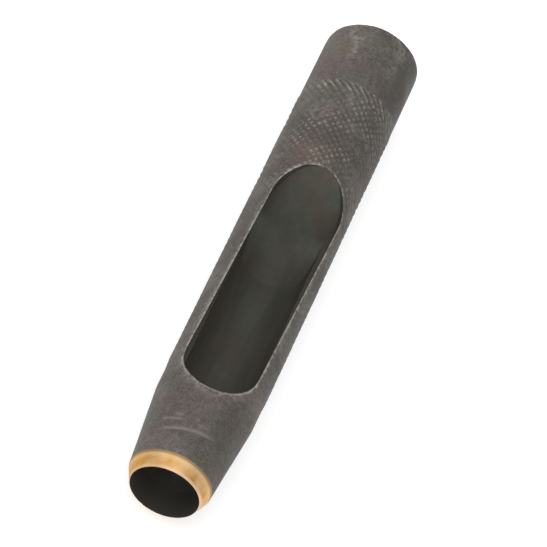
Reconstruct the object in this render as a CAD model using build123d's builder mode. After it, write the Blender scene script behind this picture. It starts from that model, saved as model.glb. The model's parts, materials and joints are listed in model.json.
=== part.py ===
from build123d import *
import os
from math import cos, radians, sin, tan

# Drive hole punch for leather, built up from three steel pieces on one axis:
#   cutting_ring   bevelled ring that shears the leather, spigoted into the nose
#   barrel         bored and knurled body with the window that lets the slugs out
#   striking_head  solid head for the mallet, whose spigot closes the bore and ends
#                  in the slope that turns the slugs out through the window
#
# Frame, millimetres: the punch lies on its side. +X runs from the cutting edge
# to the striking face, +Z points out through the window, and the origin is under
# the middle of the punch, on the surface that it lies on.

# Driving dimensions
LENGTH = 115.0
BORE_DIAMETER = 13.0  # the hole that the punch cuts
BODY_DIAMETER = 18.8
KNURL_RISE = 0.16  # how far knurling raises its crests above the body

# Stations along the punch, measured from the cutting edge
BEVEL_END = 3.0
RELIEF_START = 16.0
TAPER_END = 20.5
KNURL_START = 26.0
KNURL_END = 98.5
HEAD_START = 99.0
WINDOW_START = 18.5
WINDOW_END = 76.1

# Cutting ring
EDGE_LAND = 0.1  # flat left on the cutting edge
BEVEL_DIAMETER = 15.6  # where the bevel meets the nose
RING_SPIGOT_DIAMETER = 14.3
RING_SPIGOT_LENGTH = 3.0

# Barrel
RELIEF_DIAMETER = 13.4  # the bore is wider behind the nose, so that slugs run free
WINDOW_WIDTH = 14.1
WINDOW_ROUND = 8.3  # length of each rounded end
WINDOW_SKEW = 1.8  # degrees out of line with the axis, head end towards -Y
MILL_OVERRUN = 1.0

# Striking head
HEAD_EDGE_RADIUS = 1.6
RAMP_SLOPE = 50.0  # degrees, from the far side of the bore up to the window's rim

# Derived sizes
BORE_RADIUS = BORE_DIAMETER / 2
BODY_RADIUS = BODY_DIAMETER / 2
KNURL_RADIUS = BODY_RADIUS + KNURL_RISE
BEVEL_RADIUS = BEVEL_DIAMETER / 2
RING_SPIGOT_RADIUS = RING_SPIGOT_DIAMETER / 2
RING_SPIGOT_END = BEVEL_END + RING_SPIGOT_LENGTH
RELIEF_RADIUS = RELIEF_DIAMETER / 2
WINDOW_MIDDLE = (WINDOW_START + WINDOW_END) / 2
WINDOW_ROUND_SPACING = WINDOW_END - WINDOW_START - 2 * WINDOW_ROUND
RAMP_HEIGHT = RELIEF_RADIUS + BODY_RADIUS
RAMP_START = WINDOW_END - RAMP_HEIGHT / tan(radians(RAMP_SLOPE))

# Planes and axis: in SIDE, x is the distance from the cutting edge and y the radius
EDGE_X = -LENGTH / 2
SIDE = Plane(origin=(EDGE_X, 0, KNURL_RADIUS), x_dir=(1, 0, 0), z_dir=(0, -1, 0))
PUNCH_AXIS = Axis((EDGE_X, 0, KNURL_RADIUS), (1, 0, 0))
SKEW = radians(WINDOW_SKEW)
WINDOW_FLOOR = Plane(
    origin=(EDGE_X + WINDOW_MIDDLE, 0, KNURL_RADIUS),
    x_dir=(cos(SKEW), -sin(SKEW), 0),
    z_dir=(0, 0, 1),
)
SLOPE = radians(RAMP_SLOPE)
RAMP = Plane(
    origin=(EDGE_X + RAMP_START, 0, KNURL_RADIUS - RELIEF_RADIUS),
    x_dir=(cos(SLOPE), 0, sin(SLOPE)),
    z_dir=(sin(SLOPE), 0, -cos(SLOPE)),
)

# Cutting ring: an outside bevel down to the edge, and a spigot behind its shoulder
with BuildPart() as cutting_ring:
    with BuildSketch(SIDE):
        with BuildLine():
            Polyline(
                (0, BORE_RADIUS),
                (0, BORE_RADIUS + EDGE_LAND),
                (BEVEL_END, BEVEL_RADIUS),
                (BEVEL_END, RING_SPIGOT_RADIUS),
                (RING_SPIGOT_END, RING_SPIGOT_RADIUS),
                (RING_SPIGOT_END, BORE_RADIUS),
                close=True,
            )
        make_face()
    revolve(axis=PUNCH_AXIS)

# Window: the space that is milled away, down to the axis and, at the head end, down
# to the slope that the slugs leave by
with BuildPart() as window:
    with BuildSketch(WINDOW_FLOOR):
        Rectangle(WINDOW_ROUND_SPACING, WINDOW_WIDTH)
        with GridLocations(WINDOW_ROUND_SPACING, 0, 2, 1):
            Ellipse(WINDOW_ROUND, WINDOW_WIDTH / 2)
    extrude(amount=KNURL_RADIUS + MILL_OVERRUN)
    split(bisect_by=RAMP, keep=Keep.BOTTOM)

# Barrel: the nose and body around a stepped bore, counterbored for the ring, with
# the knurled band standing a little proud and the window cut away
with BuildPart() as barrel:
    with BuildSketch(SIDE):
        with BuildLine():
            Polyline(
                (BEVEL_END, RING_SPIGOT_RADIUS),
                (BEVEL_END, BEVEL_RADIUS),
                (TAPER_END, BODY_RADIUS),
                (KNURL_START, BODY_RADIUS),
                (KNURL_START + KNURL_RISE, KNURL_RADIUS),
                (KNURL_END - KNURL_RISE, KNURL_RADIUS),
                (KNURL_END, BODY_RADIUS),
                (HEAD_START, BODY_RADIUS),
                (HEAD_START, RELIEF_RADIUS),
                (RELIEF_START, RELIEF_RADIUS),
                (RELIEF_START, BORE_RADIUS),
                (RING_SPIGOT_END, BORE_RADIUS),
                (RING_SPIGOT_END, RING_SPIGOT_RADIUS),
                close=True,
            )
        make_face()
    revolve(axis=PUNCH_AXIS)
    add(window.part, mode=Mode.SUBTRACT)

# Striking head: a rounded mallet face on a spigot that fills the bore
with BuildPart() as striking_head:
    with BuildSketch(SIDE):
        with BuildLine():
            Polyline(
                (RAMP_START, 0),
                (RAMP_START, RELIEF_RADIUS),
                (HEAD_START, RELIEF_RADIUS),
                (HEAD_START, BODY_RADIUS),
                (LENGTH, BODY_RADIUS),
                (LENGTH, 0),
                close=True,
            )
        make_face()
        struck_corner = vertices().group_by(Axis.X)[-1].sort_by(Axis.Y)[-1]
        fillet(struck_corner, radius=HEAD_EDGE_RADIUS)
    revolve(axis=PUNCH_AXIS)
    split(bisect_by=RAMP, keep=Keep.TOP)

os.makedirs("parts", exist_ok=True)
cutting_ring.part.label = "cutting_ring"
barrel.part.label = "barrel"
striking_head.part.label = "striking_head"
for piece in (cutting_ring.part, barrel.part, striking_head.part):
    export_step(piece, f"parts/{piece.label}.step")
    print(piece.label, "volume", round(piece.volume, 1), "mm3")
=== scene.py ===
import json
from math import cos, pi, radians, sin, sqrt

import bmesh
import bpy
import numpy as np
from mathutils import Matrix, Vector
from mathutils.kdtree import KDTree


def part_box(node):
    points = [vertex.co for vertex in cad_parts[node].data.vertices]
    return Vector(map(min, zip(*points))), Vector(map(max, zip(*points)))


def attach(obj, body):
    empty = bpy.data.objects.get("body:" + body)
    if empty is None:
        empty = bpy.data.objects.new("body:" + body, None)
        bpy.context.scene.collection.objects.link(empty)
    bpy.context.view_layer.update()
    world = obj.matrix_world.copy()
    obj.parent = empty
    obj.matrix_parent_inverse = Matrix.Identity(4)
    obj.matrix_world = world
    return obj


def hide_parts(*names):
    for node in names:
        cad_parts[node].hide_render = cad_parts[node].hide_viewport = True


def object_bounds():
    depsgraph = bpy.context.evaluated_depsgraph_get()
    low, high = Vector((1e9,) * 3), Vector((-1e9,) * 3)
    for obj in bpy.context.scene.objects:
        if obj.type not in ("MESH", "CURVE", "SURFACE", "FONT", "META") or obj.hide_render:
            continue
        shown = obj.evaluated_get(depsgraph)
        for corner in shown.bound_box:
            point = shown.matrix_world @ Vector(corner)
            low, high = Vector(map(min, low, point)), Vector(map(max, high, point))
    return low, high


# Drive hole punch for leather, lying on a pale table.
# A place on the punch is given as s, the distance from the cutting edge, the radius
# from its axis, and the angle round it from the top towards +Y. Sizes are in
# millimetres, and points are in metres in the CAD's frame.
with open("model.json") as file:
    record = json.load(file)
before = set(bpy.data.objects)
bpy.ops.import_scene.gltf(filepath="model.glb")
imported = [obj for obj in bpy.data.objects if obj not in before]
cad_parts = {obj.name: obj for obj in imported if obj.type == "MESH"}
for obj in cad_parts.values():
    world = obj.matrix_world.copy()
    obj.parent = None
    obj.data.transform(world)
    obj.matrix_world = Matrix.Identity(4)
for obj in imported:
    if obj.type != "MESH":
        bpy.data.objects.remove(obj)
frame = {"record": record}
cad_low, cad_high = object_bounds()

MM = 0.001
TURN = 2 * pi
KINDS = ("skin", "inside", "rim")  # kinds of face, which the materials tell apart
SKIN, INSIDE, RIM = range(3)

# Sizes that the frame gives
ring_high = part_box("cutting_ring")[1]
barrel_low, barrel_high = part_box("barrel")
head_low, head_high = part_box("striking_head")
mounts = {mount["name"]: mount for mount in frame["record"]["mounts"]}
EDGE_X = cad_low.x
AXIS_Z = mounts["cutting_bore"]["pos_m"][2]
LENGTH = (cad_high.x - EDGE_X) / MM
BEVEL_END = (barrel_low.x - EDGE_X) / MM
RING_END = (ring_high.x - EDGE_X) / MM
RAMP_START = (head_low.x - EDGE_X) / MM
HEAD_START = (barrel_high.x - EDGE_X) / MM
BEVEL_RADIUS = ring_high.y / MM
BODY_RADIUS = head_high.y / MM
KNURL_RADIUS = (AXIS_Z - barrel_low.z) / MM
BORE_RADIUS = mounts["cutting_bore"]["dims"]["r_mm"]
RELIEF_START = mounts["cutting_bore"]["dims"]["length_mm"]

# Sizes that the frame doesn't give, the same as in the CAD
EDGE_LAND = 0.1
RING_SPIGOT_RADIUS = 7.15
RELIEF_RADIUS = 6.7
TAPER_END = 20.5
WINDOW_START = 18.5
WINDOW_END = 76.1
WINDOW_WIDTH = 14.1
WINDOW_ROUND = 8.3
WINDOW_SKEW = radians(1.8)
HEAD_EDGE_RADIUS = 1.6
RAMP_RISE = (BODY_RADIUS + RELIEF_RADIUS) / (WINDOW_END - RAMP_START)  # per mm along

# Knurl: two hands of grooves at 45 degrees, a whole number of diamonds round. It runs
# on a little past both ends of the plain band that stands for it in the CAD.
KNURL_START = 25.2
KNURL_END = 98.7
KNURL_ROWS = (KNURL_START - 0.3, KNURL_END + 0.2)  # its rows of points lie between these
DIAMONDS_ROUND = 37
STEPS_PER_DIAMOND = 6
COLUMNS = DIAMONDS_ROUND * STEPS_PER_DIAMOND
PITCH = TURN * KNURL_RADIUS / DIAMONDS_ROUND
STEP = PITCH / STEPS_PER_DIAMOND
GROOVE_DEPTH = 0.19
CREST_FLAT = 0.12  # share of the depth that wear has taken off the points
LEFT_HAND = (KNURL_START, KNURL_END)  # where the grooves of each hand begin and end
RIGHT_HAND = (26.6, 96.3)
HAND_WANDER = 0.35  # how far those ends wander to and fro round the punch
KNURL_FADE = 0.8  # length over which a groove runs out
BAND_FADE = 2.5  # length over which the band rises from the plain body

# Edge, whetted a little steeper than the bevel behind it
WHETTED_LENGTH = 0.42
WHETTED_DEPTH = 0.03
EDGE_WEAR = 0.02
NICK_DEPTH = 0.05

# Shallow tool marks on the top of the nose, each an arc of the turn: its s, its depth,
# its middle and half its sweep in degrees, and how far it leans along the punch
TOOL_MARKS = (
    (8.75, 0.13, 8, 29, 1.4),
    (10.35, 0.08, 32, 13, 0.5),
    (11.4, 0.08, 26, 5, 0.5),
    (10.5, 0.05, -7, 6, 1.0),
)
MARK_WIDTH = 0.3
MARKS_START = 7
MARKS_END = 14
# The bright flank is a painted highlight on one flank of each tool mark
MARK_SHINE = 0.28  # how far the bright flank of a mark is from its bottom
MARK_BRIGHT = 0.1  # depth from which that flank is fully bright

# Plain skin
SKIN_WAVES = 0.012  # half of how far it waves inwards
FINE_STEP = 0.2  # between rows of points where the tool marks are
COARSE_STEP = 0.5  # between the rows from there to the knurl
HEAD_STEP = 0.6  # between the rows on the side of the head

# Window rim, worn where slugs and gloves rub it
RIM_DOWN = 0.3  # how far it goes down the wall
RIM_OUT = 0.45  # and out over the skin
NOSE_RIM_EXTRA = 0.7  # share by which it is larger at the nose end
HEAD_RIM_LESS = 0.5  # and smaller at the head end
BURR_S = 72.5
BURR_LENGTH = 1.8

# Window cutter
CUTTER_FLOOR = 0.01  # height of its floor above the axis
CUTTER_WALL = 0.5  # height of the last row of its upright wall, under the rim
CUTTER_CLEAR = 1.0  # how far it stands out above the knurl

# Slug ramp
RAMP_FOOT = 7.0  # height over which the foot of the ramp is hollowed into the bore
RAMP_REACH = 4.5  # how far towards the nose that hollow takes it
RAMP_TROUGH = 4.5  # depth below the axis from which the ramp is a trough like the bore

# Struck face, and the marks on the head's side
FACE_RING_WIDTH = 0.9
FACE_RING_DEPTH = 0.018
STREAKS = ((radians(-25), 0.13), (radians(28), 0.1))  # middle and width of each, as angles
STREAKS_START = 102
STREAKS_FULL = 108
DARK_PATCH_ANGLE = radians(-52)
RUSTY_ANGLE = radians(38)
RUSTY_S = 108

# A stain of copper brown beside the window's head end
COPPER_S = 78.3
COPPER_ANGLE = radians(19)
COPPER_LENGTH = 2.8
COPPER_WIDTH = 3.6

# Colours of the dark oxide
GREEN_GREY = (0.130, 0.122, 0.105, 1)
PLUM_BROWN = (0.146, 0.122, 0.115, 1)
# Painted shade in the knurl's grooves, also used for the darker sides and patches
GROOVE_SHADE_AND_DARK_PATCH = (0.092, 0.086, 0.076, 1)
PALE_SPECK = (0.27, 0.255, 0.235, 1)
COPPER_BROWN = (0.185, 0.13, 0.1, 1)
# Painted highlight on the lit flank of the tool marks
MARK_FLANK_HIGHLIGHT = (0.3, 0.26, 0.25, 1)
# Bore colours, darker than the skin: partly painted shade inside the bore
SHADED_BORE_GREEN = (0.060, 0.060, 0.047, 1)
SHADED_BORE_BROWN = (0.068, 0.057, 0.045, 1)
BORE_STREAK = (0.1, 0.096, 0.08, 1)
# Worn metal, also the painted highlight on knurl crests and the window rim
RUBBED_AND_HIGHLIT = (0.37, 0.34, 0.315, 1)
BARED_AND_HIGHLIT = (0.6, 0.565, 0.53, 1)
OXIDE_SHEEN = (0.6, 0.6, 0.6, 1)

# Colours of the tempered edge
PALE_GOLD = (0.68, 0.45, 0.22, 1)
ORANGE_GOLD = (0.55, 0.295, 0.08, 1)
STRAW = (0.74, 0.54, 0.3, 1)
HEAT_BROWN = (0.2, 0.12, 0.065, 1)
# Bare whetted metal with a painted highlight
WHETTED_AND_HIGHLIT = (0.74, 0.54, 0.38, 1)
# Painted shade inside the ring's bore
SHADED_RING_BORE = (0.05, 0.047, 0.04, 1)

# Bands of temper colour beside the nose: how far before the bevel's end each begins
# and is full, how strong it is, and its colour
TEMPER_BANDS = ((1.5, 0.9, 0.4, STRAW), (0.65, 0.25, 0.7, HEAT_BROWN))

# Camera
AIM = Vector((-1.863, -0.686, 9.56)) * MM
DISTANCE = 785.2 * MM
HEADING = radians(-1.749)
DOWN = radians(50.143)
LEAN = radians(27.878)
LENS = 282.4
SENSOR = 36

# Light from all round: two shares of the way towards somewhere, and the strength at each
WALL_WAY = (0.8, -0.65, 0.0)  # the way to the side of the studio that is dimmer
WALL_LIGHT = ((0.2, 1.0), (0.95, 0.52))
SKY_LIGHT = ((0.0, 0.82), (0.55, 1.0))  # from the horizon upwards

# Softbox and table, in metres and watts
SOFTBOX_PLACE = (-0.1, 0.15, 0.8)
SOFTBOX_SIZE = 0.9
SOFTBOX_POWER = 1.5
TABLE_HALF = 4


# Shapes
def point(s, radius, angle):
    """Points in metres from s, radius and angle, which may be arrays."""
    x = EDGE_X + MM * np.asarray(s, float)
    y = MM * radius * np.sin(angle)
    z = AXIS_Z + MM * radius * np.cos(angle)
    return np.stack(np.broadcast_arrays(x, y, z), axis=-1)


def angles():
    """The angle of each column of points."""
    return np.arange(COLUMNS) * TURN / COLUMNS


def angle_from(middle, turn):
    """Angle from a middle, the short way round."""
    return np.angle(np.exp(1j * (turn - middle)))


def ease(x):
    """0 to 1 with soft ends."""
    x = np.clip(x, 0, 1)
    return x * x * (3 - 2 * x)


def fade(value, start, full):
    """0 at start, 1 at full and soft between them. Either may be the larger."""
    return ease((value - start) / (full - start))


def hill(value, middle, width):
    """1 at the middle, with soft flanks."""
    return np.exp(-(((value - middle) / width) ** 2))


def swell(points, wavelength, seed):
    """Smooth noise from -1 to 1 at points in metres, over a wavelength in mm."""
    draw = np.random.default_rng(seed)
    total = np.zeros(points.shape[:-1])
    waves = 9
    for _ in range(waves):
        direction = draw.normal(size=3)
        direction /= np.linalg.norm(direction)
        turns = draw.uniform(0.6, 1.6) / (wavelength * MM)
        total += np.sin(TURN * turns * (points @ direction) + draw.uniform(0, TURN))
    return np.clip(total / sqrt(waves), -1.5, 1.5) / 1.5


def show(name, data):
    """A new object in the scene."""
    made = bpy.data.objects.new(name, data)
    bpy.context.scene.collection.objects.link(made)
    return made


def lathe(name, rows, closed, kinds, split=None):
    """A mesh through rows of points that go round the axis. Closed, the last row joins
    the first. Open, each end closes on its middle. kinds gives the kind of face after
    each row. split says which four-cornered faces are cut in two: 1 from corner to
    corner along a row's turn, 2 against it."""
    rows = np.asarray(rows)
    count, columns = rows.shape[:2]
    last = count if closed else count - 1
    i, j = np.meshgrid(np.arange(last), np.arange(columns), indexing="ij")
    near = i * columns + j
    far = (i + 1) % count * columns + j
    near_next = i * columns + (j + 1) % columns
    far_next = (i + 1) % count * columns + (j + 1) % columns
    cut = np.zeros(i.shape, int) if split is None else split(i, j)
    kind = np.asarray(kinds)[i]
    faces, sorts = [], []
    for corners, chosen in (
        ((near, far, far_next, near_next), cut == 0),
        ((near, far, far_next), cut == 1),
        ((near, far_next, near_next), cut == 1),
        ((near, far, near_next), cut == 2),
        ((far, far_next, near_next), cut == 2),
    ):
        faces += np.stack(corners, axis=-1)[chosen].tolist()
        sorts += kind[chosen].tolist()
    points = rows.reshape(-1, 3)
    if not closed:
        points = np.vstack([points, rows[0].mean(0), rows[-1].mean(0)])
        first, end = len(points) - 2, len(points) - 1
        top = (count - 1) * columns
        for k in range(columns):
            after = (k + 1) % columns
            faces.append([first, k, after])
            faces.append([end, top + after, top + k])
            sorts += [kinds[0], kinds[last - 1]]
    mesh = bpy.data.meshes.new(name)
    mesh.from_pydata(points.tolist(), [], faces)
    for kind_name in KINDS:
        mesh.materials.append(stand_in(kind_name))
    mesh.polygons.foreach_set("material_index", sorts)
    return show(name, mesh)


def stand_in(name):
    """A material that only carries a kind of face through the milling."""
    return bpy.data.materials.get(name) or bpy.data.materials.new(name)


def shade(made, sharp=24):
    """Smooth shading that keeps edges sharper than an angle in degrees."""
    made.data.shade_smooth()
    made.data.set_sharp_from_angle(angle=radians(sharp))


def places(mesh):
    """Each vertex's point in metres, and its s, radius and angle."""
    co = np.zeros(len(mesh.vertices) * 3)
    mesh.vertices.foreach_get("co", co)
    co = co.reshape(-1, 3)
    s = (co[:, 0] - EDGE_X) / MM
    across, up = co[:, 1] / MM, (co[:, 2] - AXIS_Z) / MM
    return co, s, np.hypot(across, up), np.arctan2(across, up)


def paint(mesh, name, values, on="POINT"):
    """Keeps a number from 0 to 1 on each vertex or face, for the material to read."""
    layer = mesh.attributes.new(name, "FLOAT", on)
    layer.data.foreach_set("value", np.clip(values, 0, 1).astype(np.float32))


def finish_faces(made, material):
    """Gives a piece its material, and keeps for it which faces are inside or the rim."""
    mesh = made.data
    kind = np.zeros(len(mesh.polygons), np.int32)
    mesh.polygons.foreach_get("material_index", kind)
    paint(mesh, "inside", kind == INSIDE, "FACE")
    paint(mesh, "rim", kind == RIM, "FACE")
    mesh.polygons.foreach_set("material_index", np.zeros_like(kind))
    mesh.materials.clear()
    mesh.materials.append(material)


# Cutting ring
def cutting_ring(material):
    """The bevelled ring, with a whetted edge and the spigot that holds it."""
    edge_s = [0, 0.04, 0.2, WHETTED_LENGTH]
    bevel_s = np.concatenate([edge_s, np.linspace(0.55, BEVEL_END, 16)])
    whetted = WHETTED_DEPTH * np.clip(1 - bevel_s / WHETTED_LENGTH, 0, 1)
    slope = (BEVEL_RADIUS - BORE_RADIUS - EDGE_LAND) / BEVEL_END
    bevel_r = BORE_RADIUS + EDGE_LAND + slope * bevel_s - whetted
    bore_s = np.linspace(RING_END, 0, 7)[:-1]
    s = np.concatenate([[0], bevel_s, [BEVEL_END, RING_END], bore_s])[:, None]
    r = np.concatenate([
        [BORE_RADIUS], bevel_r, [RING_SPIGOT_RADIUS, RING_SPIGOT_RADIUS],
        np.full(len(bore_s), BORE_RADIUS),
    ])[:, None]
    turn = angles()
    rest = point(s, r, turn)
    row = np.arange(len(s))
    outer = (row >= 1) & (row <= len(bevel_s))
    wear = EDGE_WEAR * np.abs(swell(rest, 2.2, seed=11)) * hill(s, 0.3, 0.5)
    nicks = NICK_DEPTH * np.clip(swell(rest, 1.3, seed=12), 0, 1) * (s == 0)
    kinds = np.where(outer | (row == 0), SKIN, INSIDE)
    kinds[: len(edge_s)] = RIM
    rows = point(s + nicks, r - wear * outer[:, None], turn)
    made = lathe("bevelled_cutting_ring", rows, True, kinds)
    shade(made)
    finish_faces(made, material)
    return made


# Barrel
def body_radius(s):
    """Radius of the plain body."""
    return np.interp(s, [BEVEL_END, TAPER_END], [BEVEL_RADIUS, BODY_RADIUS])


def groove(across):
    """Share of the depth across one hand of grooves, whose bottoms are a pitch apart."""
    phase = across / PITCH % 1
    return np.abs(2 * phase - 1)


def band(s):
    """1 on the knurled band and 0 off it, with soft ends."""
    rise = fade(s, KNURL_START, KNURL_START + BAND_FADE)
    fall = fade(s, KNURL_END, KNURL_END - BAND_FADE)
    return rise * fall


def crest_radius(s):
    """Radius of the knurl's points, which stand proud of the plain body."""
    return body_radius(s) + (KNURL_RADIUS - BODY_RADIUS) * band(s)


def pressed(s, points):
    """How deep the knurl is, from place to place. Beside the window it is shallower."""
    height = (points[..., 2] - AXIS_Z) / MM
    beside = fade(s, WINDOW_END - 2, WINDOW_END - 10) * fade(height, -4, 0)
    share = 0.66 + 0.5 * swell(points, 9, seed=22) + 0.25 * swell(points, 3, seed=23)
    return np.clip(share, 0.15, 1) * (1 - 0.6 * beside)


def knurl(s, turn, points):
    """Radius of the knurled band: pyramids that two hands of grooves leave standing."""
    row = np.round(s / STEP)
    column = turn / (TURN / COLUMNS)
    wander = HAND_WANDER * swell(points, 9, seed=21)
    hands = []
    for along, (start, end) in ((row - column, LEFT_HAND), (row + column, RIGHT_HAND)):
        inside = np.minimum(s - start - wander, end + wander - s)
        hands.append(groove(along * STEP) * ease(inside / KNURL_FADE))
    flat = CREST_FLAT * (1 + 0.8 * swell(points, 6, seed=24)) * band(s)
    depth = np.maximum(np.maximum(*hands), flat)
    return crest_radius(s) - GROOVE_DEPTH * depth * pressed(s, points)


def tool_marks(s, turn):
    """Depth of the tool marks on the nose."""
    total = 0
    for place, deep, middle, half, lean in TOOL_MARKS:
        ends = ease(1.5 - np.abs(angle_from(radians(middle), turn)) / radians(half))
        slant = place - lean * np.sin(turn - radians(middle))
        total = total + deep * ends * hill(s, slant, MARK_WIDTH)
    return total


def barrel_blank():
    """The barrel before its window is milled."""
    first = int(np.ceil(KNURL_ROWS[0] / STEP))
    last = int(np.floor(KNURL_ROWS[1] / STEP))
    steps = np.arange(first, last + 1)
    plain_rows = np.linspace(BEVEL_END, MARKS_START, 9)
    marked_rows = np.arange(MARKS_START + FINE_STEP, MARKS_END - FINE_STEP / 2, FINE_STEP)
    shoulder_rows = np.arange(MARKS_END + FINE_STEP, KNURL_ROWS[0], COARSE_STEP)
    nose = np.concatenate([plain_rows, marked_rows, shoulder_rows])
    start, end = len(nose), len(nose) + len(steps)
    outer = np.concatenate([nose, steps * STEP, [HEAD_START]])
    inner = [HEAD_START, RELIEF_START, RELIEF_START, RING_END, RING_END, BEVEL_END]
    inner_r = [RELIEF_RADIUS] * 2 + [BORE_RADIUS] * 2 + [RING_SPIGOT_RADIUS] * 2
    turn = angles()
    s = outer[:, None]
    rest = point(s, body_radius(s), turn)
    radius = body_radius(s) - tool_marks(s, turn) - SKIN_WAVES * (1 + swell(rest, 7, seed=25))
    radius[[0, -1]] = body_radius(s[[0, -1]])
    radius[start:end] = knurl(s[start:end], turn, rest[start:end])
    bore = point(np.array(inner)[:, None], np.array(inner_r)[:, None], turn)
    rows = np.concatenate([point(s, radius, turn), bore])

    def along_grooves(i, j):
        """Cuts faces along the bottoms of the grooves, so that they run straight."""
        row = i - start + first
        in_band = (i >= start) & (i < end - 1)
        left = in_band & ((row - j) % STEPS_PER_DIAMOND == 0)
        right = in_band & ((row + j + 1) % STEPS_PER_DIAMOND == 0)
        return np.where(left, 1, np.where(right, 2, 0))

    kinds = np.where(np.arange(len(rows)) < len(outer), SKIN, INSIDE)
    return lathe("knurled_barrel", rows, True, kinds, along_grooves)


def window_outline(count_round=44, count_side=60):
    """The window's outline, clockwise from above: its place along and across, and
    which way is out, with its middle at 0."""
    half = (WINDOW_END - WINDOW_START) / 2 - WINDOW_ROUND
    side = WINDOW_WIDTH / 2
    straight = np.linspace(-half, half, count_side + 1)[:-1]
    sweep = np.linspace(0, pi, count_round + 1)[:-1]
    along = np.concatenate([
        straight, half + WINDOW_ROUND * np.sin(sweep),
        -straight, -half - WINDOW_ROUND * np.sin(sweep),
    ])
    across = np.concatenate([
        np.full(count_side, side), side * np.cos(sweep),
        np.full(count_side, -side), -side * np.cos(sweep),
    ])
    out = np.stack([
        np.concatenate([0 * straight, side * np.sin(sweep)] * 2),
        np.concatenate([0 * straight + WINDOW_ROUND, WINDOW_ROUND * np.cos(sweep)] * 2),
    ], axis=-1)
    out[count_side + count_round:] *= -1
    out /= np.linalg.norm(out, axis=1)[:, None]
    return np.stack([along, across], axis=-1), out


def placed(flat):
    """s and distance towards +Y of points given along and across the window."""
    middle = (WINDOW_START + WINDOW_END) / 2
    s = middle + flat[:, 0] * cos(WINDOW_SKEW) + flat[:, 1] * sin(WINDOW_SKEW)
    return s, flat[:, 1] * cos(WINDOW_SKEW) - flat[:, 0] * sin(WINDOW_SKEW)


def skin_height(s, across):
    """Height of the body's skin above the axis."""
    radius = body_radius(s) + (KNURL_RADIUS - BODY_RADIUS) * (s > KNURL_START)
    return np.sqrt(radius**2 - across**2)


def rim_share(s, across, height):
    """Size of the worn rim from place to place: wider at the nose, with a burr on the
    +Y side, and narrower at the head."""
    here = np.stack([s, across, height], axis=-1) * MM
    share = 1 + 0.2 * swell(here, 3.0, seed=31) + 0.15 * swell(here, 1.1, seed=32)
    share += NOSE_RIM_EXTRA * fade(s, WINDOW_START + 7, WINDOW_START + 1)
    burr = hill(s, BURR_S, BURR_LENGTH) * (across > 2)
    share += burr * (0.8 + 0.8 * swell(here, 0.8, seed=33))
    return share * (1 - HEAD_RIM_LESS * fade(s, WINDOW_END - 14, WINDOW_END - 6))


def window_cutter():
    """A milling tool's worth of space, flared along the skin to leave a worn rim.
    Its rim's middle line is returned with it."""
    flat, out = window_outline()
    s, across = placed(flat)
    height = skin_height(s, across)
    share = rim_share(s, across, height)
    down = RIM_DOWN * share
    wide = RIM_OUT * share * height / KNURL_RADIUS
    wide_s, wide_across = placed(flat + out * wide[:, None])
    levels = [
        (s, across, np.full(len(s), CUTTER_FLOOR)),
        (s, across, height - down - CUTTER_WALL),
        (s, across, height - down),
        (wide_s, wide_across, skin_height(wide_s, wide_across)),
        (wide_s, wide_across, np.full(len(s), KNURL_RADIUS + CUTTER_CLEAR)),
    ]
    rows = [
        np.stack([EDGE_X + MM * a, MM * b, AXIS_Z + MM * c], axis=-1) for a, b, c in levels
    ]
    rim = (rows[2] + rows[3]) / 2
    made = lathe("window_cutter", rows, False, [INSIDE, INSIDE, RIM, RIM])
    keep_above_ramp(made)
    return made, rim


def keep_above_ramp(made):
    """Cuts off what a closed mesh has below the slug ramp."""
    mesh = bmesh.new()
    mesh.from_mesh(made.data)
    cut = bmesh.ops.bisect_plane(
        mesh, geom=mesh.verts[:] + mesh.edges[:] + mesh.faces[:], dist=1e-9,
        plane_co=point(RAMP_START, RELIEF_RADIUS, pi), plane_no=(RAMP_RISE, 0, -1),
        clear_outer=True,
    )
    edges = [e for e in cut["geom_cut"] if isinstance(e, bmesh.types.BMEdge)]
    for face in bmesh.ops.contextual_create(mesh, geom=edges)["faces"]:
        face.material_index = INSIDE
    mesh.to_mesh(made.data)
    mesh.free()


def cut_out(made, cutter):
    """Takes the cutter's shape out of a mesh."""
    cut = made.modifiers.new("window", "BOOLEAN")
    cut.operation = "DIFFERENCE"
    cut.solver = "MANIFOLD"
    cut.object = cutter
    seen = made.evaluated_get(bpy.context.evaluated_depsgraph_get())
    whole = bpy.data.meshes.new_from_object(seen)
    made.modifiers.clear()
    made.data = whole
    bpy.data.objects.remove(cutter)


def closeness(co, line, reach):
    """1 on a line of points, 0 at a reach from it in mm and beyond."""
    tree = KDTree(len(line))
    for k, place in enumerate(line):
        tree.insert(place, k)
    tree.balance()
    gap = np.array([tree.find(place)[2] for place in co]) / MM
    return np.clip(1 - gap / reach, 0, 1)


def worn_and_highlit_crests(co, s, turn, depth):
    """How bright the knurl is: its points are rubbed in patches and carry a painted highlight
    that is strongest on top; past the right hand's end the ridges of the left hand are
    rubbed and highlit all along."""
    deep = pressed(s, co)
    # Painted highlight: brighter towards the top, where the light falls
    lit_from_above = 0.5 + 0.5 * fade(np.cos(turn), 0.45, 0.85)
    patch = ease(0.5 + 1.4 * swell(co, 7, seed=51)) * deep
    crest = ease(1.5 - 4 * depth) * (0.12 + 1.1 * patch) * lit_from_above
    crest *= fade(s, KNURL_END, KNURL_END - 0.6) * fade(s, KNURL_START, KNURL_START + 2)
    ridge = ease(1.4 - 2.8 * depth / deep) * lit_from_above
    ridge *= 0.75 + 0.5 * swell(co, 2.5, seed=53)
    ridge *= fade(s, KNURL_END - 0.2, KNURL_END - 0.6)
    return np.where(s > RIGHT_HAND[1] - 0.5, ridge, crest)


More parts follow.
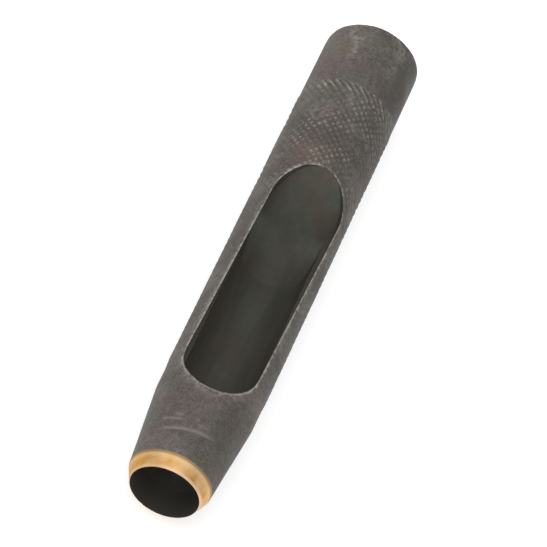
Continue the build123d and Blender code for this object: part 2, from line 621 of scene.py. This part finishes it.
def worn_and_highlit_rim(s, close):
    """How bright the window's rim is, as worn metal with a painted highlight: a line, and at
    the nose a wider painted glow.
    """
    nose_end = fade(s, WINDOW_START + 6, WINDOW_START)
    nose_highlight = 0.6 * ease(close) * nose_end
    return np.maximum(nose_highlight, (0.75 + 0.6 * nose_end) * fade(close, 0.6, 1.1))


def darker_sides_by_window(co, s, turn, close):
    """How much darker the skin is on the sides beside the window, except on its bright rim."""
    side = np.abs(turn)
    darker_sides = fade(s, 24, 30) * fade(s, WINDOW_END - 4, WINDOW_END - 10)
    darker_sides *= fade(side, 0.7, 0.85) * fade(side, 2.4, 1.8)
    return darker_sides * (0.8 + 0.3 * swell(co, 6, seed=54)) * (1 - fade(close, 0.3, 0.8))


def copper_stain(co, s, turn):
    """How coppery the skin is beside the window's head end."""
    away = angle_from(COPPER_ANGLE, turn) * BODY_RADIUS
    spot = hill(s, COPPER_S, COPPER_LENGTH) * hill(away, 0, COPPER_WIDTH)
    return spot * (0.5 + 0.5 * swell(co, 2, seed=52))


def barrel(material):
    """The bored barrel with its knurl, milled window and worn rim."""
    made = barrel_blank()
    cutter, rim = window_cutter()
    cut_out(made, cutter)
    shade(made)
    mesh = made.data
    co, s, radius, turn = places(mesh)
    outside = radius > BODY_RADIUS - GROOVE_DEPTH - 0.05
    knurled = outside & (s > KNURL_ROWS[0]) & (s < KNURL_ROWS[1])
    depth = np.where(knurled, (crest_radius(s) - radius) / GROOVE_DEPTH, 0)
    close = closeness(co, rim, reach=2.0)
    crest_wear_and_highlight = knurled * worn_and_highlit_crests(co, s, turn, depth)
    darker_sides = outside * darker_sides_by_window(co, s, turn, close)
    shine = tool_marks(s + MARK_SHINE, turn) / MARK_BRIGHT
    # The wear layer holds worn metal and painted highlight on the knurl's crests and the rim
    paint(mesh, "wear", np.maximum(0.9 * crest_wear_and_highlight, 0.8 * worn_and_highlit_rim(s, close)))
    # Painted highlight on one flank of each tool mark on the nose
    paint(mesh, "mark_flank_highlight", (s < MARKS_END) * shine)
    # Painted shade: darker in the knurl's grooves by their depth, and darker on the sides beside
    # the window
    paint(mesh, "groove_shade_and_dark_patches", np.maximum(0.6 * ease(depth), darker_sides))
    paint(mesh, "copper", copper_stain(co, s, turn))
    finish_faces(made, material)
    return made


# Striking head
def ramp_rows(turn):
    """Rows of points from the middle of the slug ramp out to the spigot's wall."""
    r = np.concatenate([[0.4], np.linspace(1.0, RELIEF_RADIUS, 15)])[:, None]
    across, up = r * np.sin(turn), r * np.cos(turn)
    bed = np.sqrt(RELIEF_RADIUS**2 - np.clip(np.abs(across), 0, RELIEF_RADIUS) ** 2)
    low = ease(-up / RAMP_TROUGH)
    climb = RELIEF_RADIUS + up - low * (RELIEF_RADIUS - bed)
    hollow = RAMP_REACH * low * np.clip(1 - (up + bed) / RAMP_FOOT, 0, 1) ** 3
    return point(RAMP_START + climb / RAMP_RISE - hollow, r, turn)


def head_rows(turn):
    """Rows of points along the head, round its edge and in over its battered face."""
    side_s = np.arange(HEAD_START, LENGTH - HEAD_EDGE_RADIUS, HEAD_STEP)
    bend = np.linspace(0, pi / 2, 11)
    edge_s = LENGTH - HEAD_EDGE_RADIUS * (1 - np.sin(bend))
    edge_r = BODY_RADIUS - HEAD_EDGE_RADIUS * (1 - np.cos(bend))
    face_r = np.linspace(edge_r[-1], 0.3, 18)[1:]
    s = np.concatenate([side_s, edge_s, np.full(len(face_r), LENGTH)])[:, None]
    r = np.concatenate([np.full(len(side_s), BODY_RADIUS), edge_r, face_r])[:, None]
    rest = point(s, r, turn)
    on_face = r < edge_r[-1] - 0.1
    dents = 0.06 + 0.05 * swell(rest, 5, seed=41) + 0.035 * swell(rest, 2, seed=42)
    dents = np.clip(dents, 0, None) * fade(s, LENGTH - 3.2, LENGTH - 0.8)
    rings = FACE_RING_DEPTH * (1 + np.sin(TURN * r / FACE_RING_WIDTH)) * on_face
    waves = SKIN_WAVES * (1 + swell(rest, 7, seed=43)) * fade(s, HEAD_START, HEAD_START + 1)
    in_from_face = dents * (s > LENGTH - 1) + rings
    in_from_side = (waves + 0.6 * dents * (s < LENGTH - 0.4)) * (r > edge_r[-1] - 0.1)
    return point(s - in_from_face, r - in_from_side, turn)


def streaks(co, s, turn):
    """How bright the rubbed streaks along the head are."""
    total = 0
    for middle, width in STREAKS:
        away = angle_from(middle + 0.15 * swell(co, 9, seed=45), turn)
        total = total + hill(away, 0, width)
    return total * (0.8 + 0.4 * swell(co, 5, seed=46)) * fade(s, STREAKS_START, STREAKS_FULL)


def striking_head(material):
    """The head, its mallet face a little battered, on the spigot with the slug ramp."""
    turn = angles()
    ramp = ramp_rows(turn)
    shoulder = point([[HEAD_START]], RELIEF_RADIUS, turn)
    rows = np.concatenate([ramp, shoulder, head_rows(turn)])
    kinds = np.full(len(rows), SKIN)
    kinds[: len(ramp)] = INSIDE
    made = lathe("mallet_head", rows, False, kinds)
    shade(made)
    mesh = made.data
    co, s, radius, turn = places(mesh)
    skin = radius > BODY_RADIUS - 0.3
    edge = hill(s, LENGTH - 0.7, 0.8) * (radius > BODY_RADIUS - 1.7)
    edge = 0.35 * edge * (1 + swell(co, 3, seed=44))
    # A darker patch on the head's side near its face
    dark_patch = hill(turn, DARK_PATCH_ANGLE, 0.3) * fade(s, LENGTH - 1, LENGTH - 4)
    dark_patch *= 0.75 + 0.3 * swell(co, 6, seed=47)
    rusty = hill(turn, RUSTY_ANGLE, 0.22) * hill(s, RUSTY_S, 4)
    rusty *= 0.35 * (1 + swell(co, 2, seed=48))
    paint(mesh, "wear", np.maximum(edge, 0.5 * skin * streaks(co, s, turn)))
    paint(mesh, "groove_shade_and_dark_patches", skin * dark_patch)
    paint(mesh, "copper", skin * rusty)
    finish_faces(made, material)
    return made


# Materials
class Finish:
    """A node material, whose patterns are in millimetres on the punch."""

    def __init__(self, name):
        self.material = bpy.data.materials.new(name)
        self.material.use_nodes = True
        self.nodes = self.material.node_tree.nodes
        self.links = self.material.node_tree.links
        self.shader = self.nodes["Principled BSDF"]
        self.place = self.nodes.new("ShaderNodeTexCoord").outputs["Object"]

    def put(self, value, socket):
        """Gives a socket a pattern, or a number or colour."""
        if isinstance(value, bpy.types.NodeSocket):
            self.links.new(value, socket)
        else:
            socket.default_value = value

    def noise(self, size, detail=2.0, stretch=(1, 1, 1), roughness=0.5):
        """Noise whose features are about size mm, stretched along each axis."""
        scale = self.nodes.new("ShaderNodeMapping")
        self.put(self.place, scale.inputs["Vector"])
        scale.inputs["Scale"].default_value = [1 / (size * MM * k) for k in stretch]
        made = self.nodes.new("ShaderNodeTexNoise")
        made.inputs["Scale"].default_value = 1.0
        made.inputs["Detail"].default_value = detail
        made.inputs["Roughness"].default_value = roughness
        self.put(scale.outputs["Vector"], made.inputs["Vector"])
        return made.outputs["Fac"]

    def remap(self, value, low, high, to_low=0.0, to_high=1.0):
        """Turns low to high into to_low to to_high, with soft ends."""
        made = self.nodes.new("ShaderNodeMapRange")
        made.interpolation_type = "SMOOTHSTEP"
        for socket, number in zip(made.inputs, (value, low, high, to_low, to_high)):
            self.put(number, socket)
        return made.outputs["Result"]

    def math(self, kind, a, b):
        """One step of arithmetic on patterns or numbers."""
        made = self.nodes.new("ShaderNodeMath")
        made.operation = kind
        self.put(a, made.inputs[0])
        self.put(b, made.inputs[1])
        return made.outputs[0]

    def mix(self, factor, a, b, blend="MIX"):
        """Colour a, turned into colour b by a factor."""
        made = self.nodes.new("ShaderNodeMix")
        made.data_type = "RGBA"
        made.blend_type = blend
        self.put(factor, made.inputs[0])
        self.put(a, made.inputs[6])
        self.put(b, made.inputs[7])
        return made.outputs[2]

    def toned(self, colour, first, *others):
        """A colour made darker and lighter by patterns of numbers round 1."""
        tone = first
        for other in others:
            tone = self.math("MULTIPLY", tone, other)
        grey = self.nodes.new("ShaderNodeCombineColor")
        for socket in grey.inputs:
            self.put(tone, socket)
        return self.mix(1.0, colour, grey.outputs[0], "MULTIPLY")

    def painted(self, name):
        """What paint() kept on the mesh."""
        made = self.nodes.new("ShaderNodeAttribute")
        made.attribute_name = name
        return made.outputs["Fac"]

    def axis(self, index):
        """Distance in metres along X, Y or Z."""
        made = self.nodes.new("ShaderNodeSeparateXYZ")
        self.put(self.place, made.inputs[0])
        return made.outputs[index]

    def metal(self, outside, inside):
        """How metallic the faces outside and inside are."""
        socket = self.shader.inputs["Metallic"]
        self.put(outside, socket)
        self.put(self.remap(self.painted("inside"), 0, 1, outside, inside), socket)

    def finish(self, colour, roughness, height, depth):
        """height is a pattern from 0 to 1, and depth how deep it is in mm."""
        bump = self.nodes.new("ShaderNodeBump")
        bump.inputs["Strength"].default_value = 1.0
        bump.inputs["Distance"].default_value = depth * MM
        self.put(height, bump.inputs["Height"])
        self.put(bump.outputs["Normal"], self.shader.inputs["Normal"])
        self.put(colour, self.shader.inputs["Base Color"])
        self.put(roughness, self.shader.inputs["Roughness"])
        return self.material


def oxide_skin(steel, blotch, speck):
    """Colour of the skin: blotched and specked, then given painted shade in the grooves and
    darker patches, stained, and a painted highlight on one flank of each tool mark.
    """
    grain = steel.noise(0.28)
    cloud = steel.noise(11)
    salt = steel.noise(0.55, roughness=0.6)
    colour = steel.mix(steel.remap(blotch, 0.4, 0.62), GREEN_GREY, PLUM_BROWN)
    colour = steel.toned(
        colour,
        steel.remap(speck, 0.3, 0.7, 0.86, 1.14),
        steel.remap(grain, 0.3, 0.7, 0.84, 1.18),
        steel.remap(cloud, 0.35, 0.65, 0.86, 1.1),
    )
    # Painted shade in the grooves, and the darker sides and patches
    colour = steel.mix(steel.painted("groove_shade_and_dark_patches"), colour, GROOVE_SHADE_AND_DARK_PATCH)
    colour = steel.mix(steel.remap(salt, 0.58, 0.7, 0.0, 0.32), colour, PALE_SPECK)
    colour = steel.mix(steel.painted("copper"), colour, COPPER_BROWN)
    # Painted highlight on one flank of each tool mark
    mark_flank_highlight = steel.math("MULTIPLY", steel.painted("mark_flank_highlight"), 0.75)
    return steel.mix(mark_flank_highlight, colour, MARK_FLANK_HIGHLIGHT)


def shaded_oxide_bore(steel, blotch):
    """Colour of the bore: darker, partly as painted shade inside it, and duller, streaked
    lengthwise by the slugs.
    """
    streak = steel.noise(1.6, 3, stretch=(7, 1, 1))
    colour = steel.mix(steel.remap(blotch, 0.4, 0.62), SHADED_BORE_GREEN, SHADED_BORE_BROWN)
    return steel.mix(steel.remap(streak, 0.35, 0.7, 0.0, 0.28), colour, BORE_STREAK)


def oxide_steel():
    """Dark oiled oxide on steel: blotched brown and grey, worn paler on its edges, with a
    painted highlight on the knurl's crests and the window's rim.
    """
    steel = Finish("oiled_oxide")
    steel.shader.inputs["Specular Tint"].default_value = OXIDE_SHEEN
    steel.metal(outside=0.75, inside=0.15)
    blotch = steel.noise(7, 3)
    speck = steel.noise(0.9, 3, roughness=0.65)
    turned = steel.noise(0.22, stretch=(1, 12, 12))
    inside, wear_and_highlight = steel.painted("inside"), steel.painted("wear")
    colour = steel.mix(inside, oxide_skin(steel, blotch, speck), shaded_oxide_bore(steel, blotch))
    # Worn metal and painted highlight, kept off the faces inside
    wear = steel.math("MULTIPLY", wear_and_highlight, steel.remap(speck, 0.34, 0.6))
    wear = steel.math("MULTIPLY", wear, steel.math("SUBTRACT", 1.0, inside))
    # The rim's faces get the bright worn colour, partly a painted highlight
    rim = steel.math("MULTIPLY", steel.painted("rim"), steel.remap(speck, 0.36, 0.54, 0.3, 1.0))
    bare_and_highlit = steel.mix(steel.remap(wear_and_highlight, 0.55, 1.0), RUBBED_AND_HIGHLIT, BARED_AND_HIGHLIT)
    colour = steel.mix(steel.math("MAXIMUM", wear, rim), colour, bare_and_highlit)
    roughness = steel.remap(blotch, 0.35, 0.65, 0.5, 0.62)
    height = steel.math("ADD", steel.math("MULTIPLY", turned, 0.5), speck)
    return steel.finish(colour, roughness, height, depth=0.02)


def edge_steel():
    """The ground bevel, tempered gold, with a whetted edge that shows bare metal and a
    painted highlight, stronger towards -Y.
    """
    steel = Finish("tempered_edge")
    steel.metal(outside=1.0, inside=0.2)
    blotch = steel.noise(2.8, 3)
    ground = steel.noise(0.16, stretch=(1, 20, 20))
    speck = steel.noise(0.7, 3)
    along, across = steel.axis(0), steel.axis(1)
    warm_side = steel.math("MULTIPLY", steel.remap(across, 3.5 * MM, 7.5 * MM), 0.5)
    heat = steel.math("ADD", warm_side, blotch)
    colour = steel.mix(steel.remap(heat, 0.38, 0.72), PALE_GOLD, ORANGE_GOLD)
    for begins, is_full, strength, band_colour in TEMPER_BANDS:
        start = EDGE_X + (BEVEL_END - begins) * MM
        full = EDGE_X + (BEVEL_END - is_full) * MM
        colour = steel.mix(steel.remap(along, start, full, 0.0, strength), colour, band_colour)
    colour = steel.toned(
        colour,
        steel.remap(ground, 0.3, 0.7, 0.97, 1.03),
        steel.remap(speck, 0.3, 0.7, 0.92, 1.06),
    )
    # Whetted bare metal with a painted highlight, stronger towards -Y
    edge_highlight_share = steel.remap(across, -4 * MM, 4 * MM, 0.9, 0.45)
    colour = steel.mix(steel.math("MULTIPLY", steel.painted("rim"), edge_highlight_share), colour, WHETTED_AND_HIGHLIT)
    # Painted shade inside the ring's bore
    colour = steel.mix(steel.painted("inside"), colour, SHADED_RING_BORE)
    roughness = steel.remap(speck, 0.3, 0.7, 0.48, 0.58)
    height = steel.math("ADD", ground, steel.math("MULTIPLY", speck, 0.5))
    return steel.finish(colour, roughness, height, depth=0.008)


def table_top():
    """A plain pale table that glows a little, as a lit studio sweep does."""
    material = bpy.data.materials.new("pale_table")
    material.use_nodes = True
    shader = material.node_tree.nodes["Principled BSDF"]
    shader.inputs["Base Color"].default_value = (0.75, 0.75, 0.75, 1)
    shader.inputs["Roughness"].default_value = 0.9
    shader.inputs["Emission Color"].default_value = (1, 1, 1, 1)
    shader.inputs["Emission Strength"].default_value = 0.5
    return material


# The scene
def camera():
    """A long lens on the punch from above its cutting end, leaning to one side."""
    forward = Vector((cos(DOWN) * cos(HEADING), cos(DOWN) * sin(HEADING), -sin(DOWN)))
    data = bpy.data.cameras.new("camera")
    data.sensor_width = SENSOR
    data.lens = LENS
    data.clip_start = 0.05
    data.clip_end = 20
    made = show("camera", data)
    made.location = AIM - forward * DISTANCE
    level = forward.to_track_quat("-Z", "Y").to_matrix()
    made.rotation_euler = (level @ Matrix.Rotation(LEAN, 3, "Z")).to_euler()
    bpy.context.scene.camera = made


def dimmer(nodes, links, value, places_and_strengths):
    """A strength of light that changes with a value, evenly between two places."""
    made = nodes.new("ShaderNodeMapRange")
    (low, strength_low), (high, strength_high) = places_and_strengths
    for name, number in (
        ("From Min", low), ("From Max", high), ("To Min", strength_low), ("To Max", strength_high),
    ):
        made.inputs[name].default_value = number
    links.new(value, made.inputs["Value"])
    return made.outputs["Result"]


def studio():
    """White light from all round, a little dimmer from one side and from low down."""
    world = bpy.data.worlds.new("studio")
    world.use_nodes = True
    nodes, links = world.node_tree.nodes, world.node_tree.links
    look = nodes.new("ShaderNodeTexCoord").outputs["Generated"]
    towards_wall = nodes.new("ShaderNodeVectorMath")
    towards_wall.operation = "DOT_PRODUCT"
    towards_wall.inputs[1].default_value = WALL_WAY
    links.new(look, towards_wall.inputs[0])
    parts = nodes.new("ShaderNodeSeparateXYZ")
    links.new(look, parts.inputs[0])
    both = nodes.new("ShaderNodeMath")
    both.operation = "MULTIPLY"
    wall = dimmer(nodes, links, towards_wall.outputs["Value"], WALL_LIGHT)
    sky = dimmer(nodes, links, parts.outputs["Z"], SKY_LIGHT)
    links.new(wall, both.inputs[0])
    links.new(sky, both.inputs[1])
    links.new(both.outputs[0], nodes["Background"].inputs["Strength"])
    nodes["Background"].inputs["Color"].default_value = (1, 1, 1, 1)
    bpy.context.scene.world = world


def softbox():
    """A large soft lamp high above the cutting end, turned to the punch."""
    data = bpy.data.lights.new("softbox", "AREA")
    data.size = SOFTBOX_SIZE
    data.energy = SOFTBOX_POWER
    made = show("softbox", data)
    made.location = SOFTBOX_PLACE
    made.rotation_euler = (-made.location).to_track_quat("-Z", "Y").to_euler()


def table():
    """The table that the punch lies on."""
    half = TABLE_HALF
    mesh = bpy.data.meshes.new("table_top")
    corners = [(-half, -half, 0), (half, -half, 0), (half, half, 0), (-half, half, 0)]
    mesh.from_pydata(corners, [], [(0, 1, 2, 3)])
    mesh.materials.append(table_top())
    made = show("table_top", mesh)


camera()
studio()
softbox()
table()
bpy.context.scene.view_settings.view_transform = "Standard"

oxide = oxide_steel()
ring = cutting_ring(edge_steel())
body = barrel(oxide)
head = striking_head(oxide)
for piece, node, slot in (
    (ring, "cutting_ring", "edge_steel"),
    (body, "barrel", "oxide_steel"),
    (head, "striking_head", "oxide_steel"),
):
    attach(piece, "root")
    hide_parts(node)
